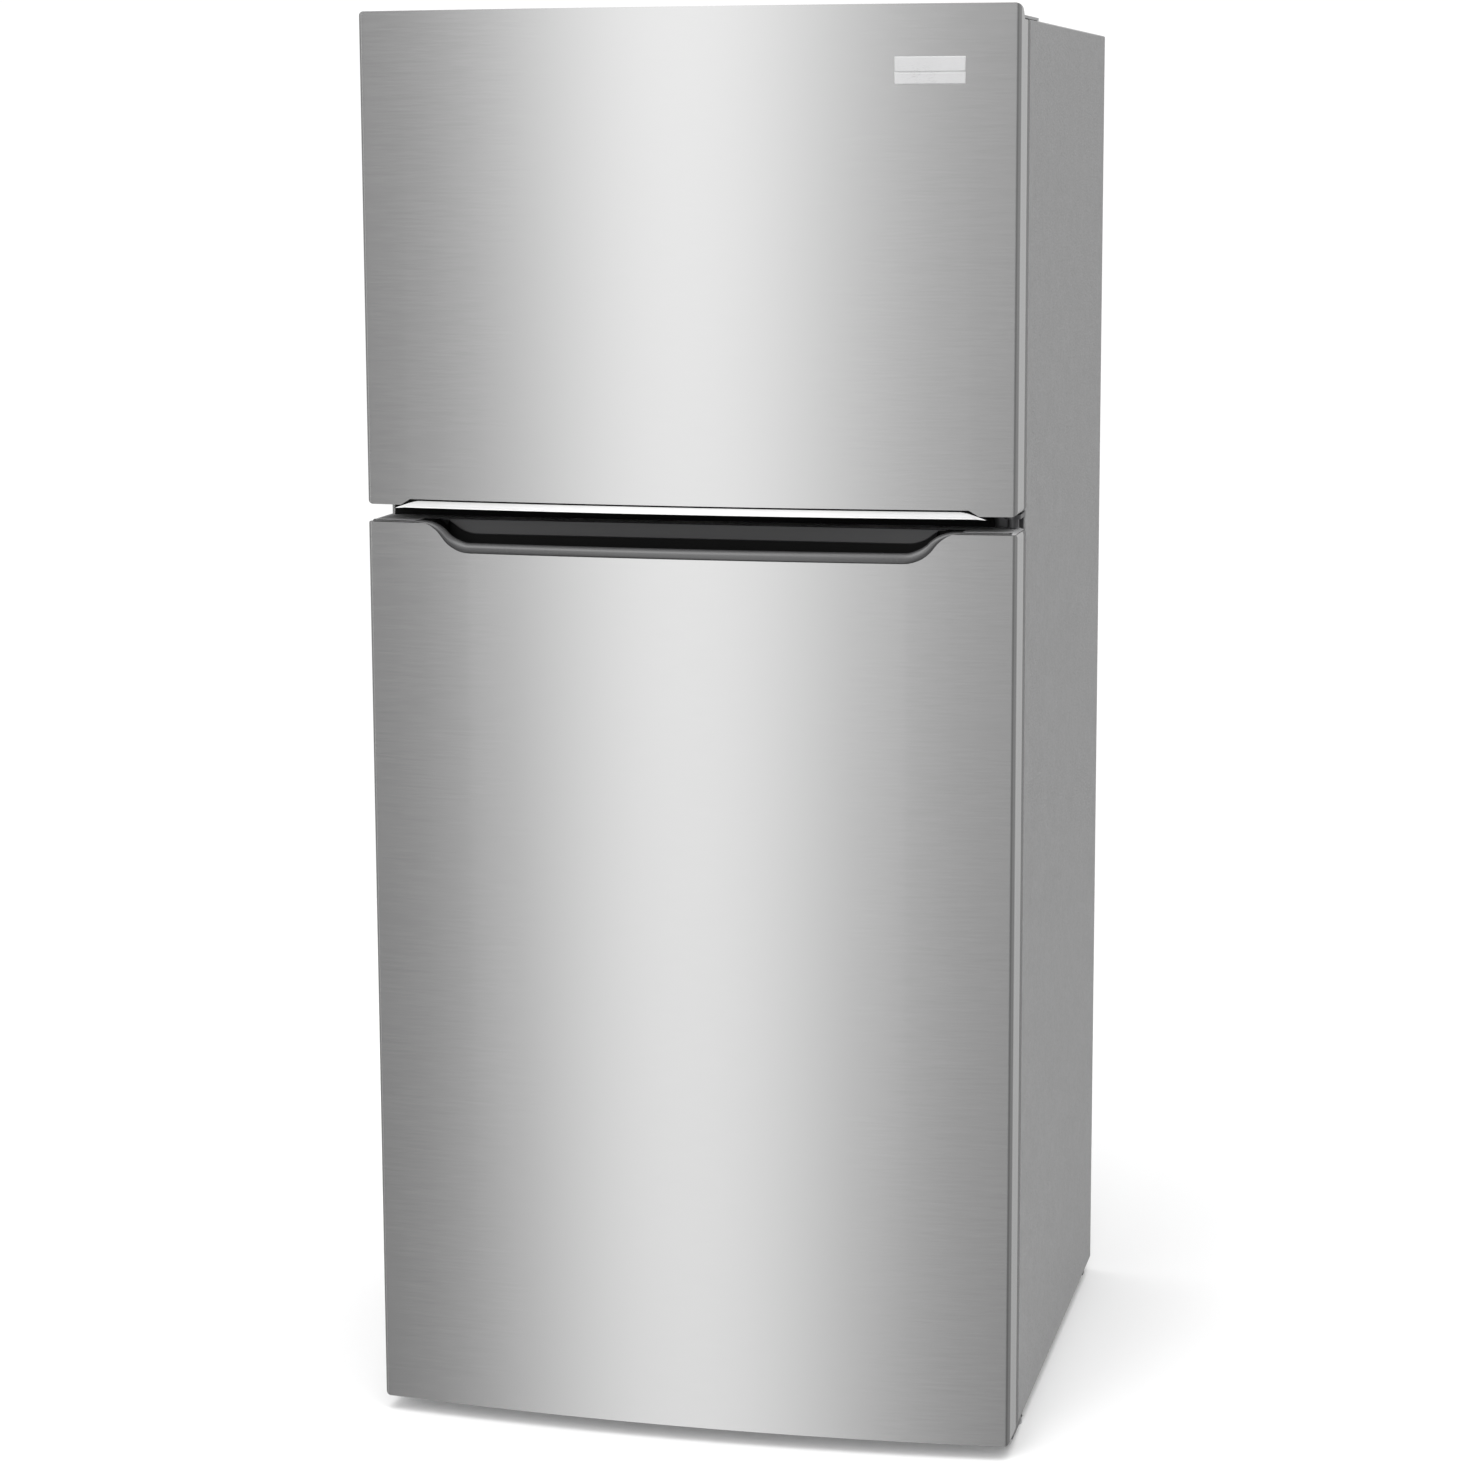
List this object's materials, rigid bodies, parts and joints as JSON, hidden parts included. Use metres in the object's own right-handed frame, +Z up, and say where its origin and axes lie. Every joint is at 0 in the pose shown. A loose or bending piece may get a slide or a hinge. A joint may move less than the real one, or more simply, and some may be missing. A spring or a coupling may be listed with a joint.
{
  "type": "top freezer refrigerator",
  "caption": "Two-door refrigerator with the freezer above, bowed brushed steel doors, a pocket handle, glass shelves, sliding drawers and door bins.",
  "frame": {"origin": "on the floor, under the middle of the refrigerator's bounding box", "axes": "+Z up, -Y out of the doors' fronts, +X to the viewer's right (the hinge side)"},
  "size_m": [0.762, 0.736, 1.662],
  "materials": {
    "black_plastic": "black plastic",
    "black_rubber": "black rubber",
    "black_steel": "black paint",
    "bright_trim": "bright satin metal",
    "clear_plastic": "clear plastic",
    "copper_fin": "tube and fin",
    "dark_plastic": "dark grey satin plastic",
    "frame_steel": "dark coated steel",
    "gasket": "flexible vinyl",
    "glass": "toughened glass",
    "grey_cap": "grey plastic",
    "grey_steel": "textured grey paint",
    "hinge_steel": "plated steel",
    "insulation": "rigid foam",
    "plate_metal": "plain light metal",
    "screw_steel": "zinc plated",
    "stainless": "horizontal brushed stainless steel",
    "white_liner": "white thermoformed liner",
    "white_plastic": "white plastic",
    "wire": "white coated wire",
    "zinc_steel": "zinc plated sheet"
  },
  "bodies": {
    "cabinet": {"cabinet_wrapper": "grey_steel", "back_panel": "zinc_steel", "cabinet_foam": "insulation", "freezer_liner": "white_liner", "fridge_liner": "white_liner", "divider_rail": "white_plastic", "base_frame": "frame_steel", "machine_cover": "black_steel", "cord_gland": "black_rubber", "top_hinge": "hinge_steel", "top_hinge_cover": "grey_cap", "centre_hinge": "hinge_steel", "bottom_hinge": "hinge_steel", "hinge_screws": "screw_steel", "shelf_supports": "wire", "shelf_rims": "white_plastic", "shelf_glass": "glass", "crisper_cover": "white_plastic", "freezer_shelf": "wire", "control_housing": "white_plastic", "lamp_cover": "clear_plastic", "air_duct": "white_plastic", "evaporator_cover": "white_liner", "evaporator_coil": "copper_fin", "condenser_fan_bracket": "black_plastic", "condenser_coil": "copper_fin", "compressor": "black_steel", "compressor_grommets": "black_rubber"},
    "freezer_door": {"freezer_door_skin": "stainless", "freezer_door_foam": "insulation", "freezer_door_liner": "white_liner", "freezer_door_gasket": "gasket", "freezer_door_top_cap": "grey_cap", "freezer_door_bottom_cap": "dark_plastic", "freezer_grip_bar": "bright_trim", "front_plate": "plate_metal", "freezer_door_bins": "clear_plastic"},
    "fridge_door": {"fridge_door_skin": "stainless", "fridge_door_foam": "insulation", "fridge_door_liner": "white_liner", "fridge_door_gasket": "gasket", "fridge_handle_pocket": "dark_plastic", "fridge_door_bottom_cap": "grey_cap", "fridge_door_bins": "clear_plastic", "dairy_housing": "white_plastic"},
    "dairy_lid": {"dairy_lid": "clear_plastic"},
    "crisper_left": {"crisper_left": "clear_plastic"},
    "crisper_right": {"crisper_right": "clear_plastic"},
    "deli_drawer": {"deli_drawer": "clear_plastic"},
    "humidity_slider_left": {"humidity_slider_left": "dark_plastic"},
    "humidity_slider_right": {"humidity_slider_right": "dark_plastic"},
    "fridge_dial": {"fridge_dial": "white_plastic"},
    "freezer_dial": {"freezer_dial": "white_plastic"},
    "switch_plunger": {"switch_plunger": "white_plastic"},
    "evaporator_fan": {"evaporator_fan": "black_plastic"},
    "condenser_fan": {"condenser_fan": "black_plastic"},
    "roller_left": {"roller_left": "black_plastic"},
    "roller_right": {"roller_right": "black_plastic"},
    "foot_left": {"foot_left": "screw_steel"},
    "foot_right": {"foot_right": "screw_steel"}
  },
  "joints": [
    {"name": "freezer_door_hinge", "type": "hinge", "parent": "cabinet", "child": "freezer_door", "pos_m": [0.369, -0.299, 1.1], "axis": [0, 0, 1], "range_deg": [0, 125]},
    {"name": "fridge_door_hinge", "type": "hinge", "parent": "cabinet", "child": "fridge_door", "pos_m": [0.369, -0.299, 0.018], "axis": [0, 0, 1], "range_deg": [0, 125]},
    {"name": "dairy_lid_hinge", "type": "hinge", "parent": "fridge_door", "child": "dairy_lid", "pos_m": [0, -0.266, 0.905], "axis": [1, 0, 0], "range_deg": [0, 70]},
    {"name": "crisper_left_slide", "type": "slide", "parent": "cabinet", "child": "crisper_left", "axis": [0, -1, 0], "range_m": [0, 0.22]},
    {"name": "crisper_right_slide", "type": "slide", "parent": "cabinet", "child": "crisper_right", "axis": [0, -1, 0], "range_m": [0, 0.22]},
    {"name": "deli_drawer_slide", "type": "slide", "parent": "cabinet", "child": "deli_drawer", "axis": [0, -1, 0], "range_m": [0, 0.22]},
    {"name": "switch_plunger_slide", "type": "slide", "parent": "cabinet", "child": "switch_plunger", "axis": [0, -1, 0], "range_m": [0, 0.008]},
    {"name": "humidity_slider_left_slide", "type": "slide", "parent": "cabinet", "child": "humidity_slider_left", "axis": [1, 0, 0], "range_m": [-0.0225, 0.0225]},
    {"name": "humidity_slider_right_slide", "type": "slide", "parent": "cabinet", "child": "humidity_slider_right", "axis": [1, 0, 0], "range_m": [-0.0225, 0.0225]},
    {"name": "fridge_dial_turn", "type": "hinge", "parent": "cabinet", "child": "fridge_dial", "pos_m": [-0.096, -0.117, 1.022], "axis": [0, 1, 0], "range_deg": [-135, 135]},
    {"name": "freezer_dial_turn", "type": "hinge", "parent": "cabinet", "child": "freezer_dial", "pos_m": [0.096, -0.117, 1.022], "axis": [0, 1, 0], "range_deg": [-135, 135]},
    {"name": "evaporator_fan_spin", "type": "hinge", "parent": "cabinet", "child": "evaporator_fan", "pos_m": [0, 0.246, 1.477], "axis": [0, 1, 0], "continuous": true},
    {"name": "condenser_fan_spin", "type": "hinge", "parent": "cabinet", "child": "condenser_fan", "pos_m": [0.03, 0.278, 0.135], "axis": [1, 0, 0], "continuous": true},
    {"name": "roller_left_roll", "type": "hinge", "parent": "cabinet", "child": "roller_left", "pos_m": [-0.36, 0.308, 0.018], "axis": [1, 0, 0], "continuous": true},
    {"name": "roller_right_roll", "type": "hinge", "parent": "cabinet", "child": "roller_right", "pos_m": [0.36, 0.308, 0.018], "axis": [1, 0, 0], "continuous": true},
    {"name": "foot_left_turn", "type": "hinge", "parent": "cabinet", "child": "foot_left", "pos_m": [-0.36, -0.219, 0], "axis": [0, 0, 1], "continuous": true},
    {"name": "foot_right_turn", "type": "hinge", "parent": "cabinet", "child": "foot_right", "pos_m": [0.36, -0.219, 0], "axis": [0, 0, 1], "continuous": true}
  ],
  "couplings": [
    {"joint": "crisper_left_slide", "follows": "fridge_door_hinge", "m_per_rad": 0.1},
    {"joint": "crisper_right_slide", "follows": "fridge_door_hinge", "m_per_rad": 0.1},
    {"joint": "deli_drawer_slide", "follows": "fridge_door_hinge", "m_per_rad": 0.1},
    {"joint": "switch_plunger_slide", "follows": "fridge_door_hinge", "m_per_rad": 0.003663}
  ]
}
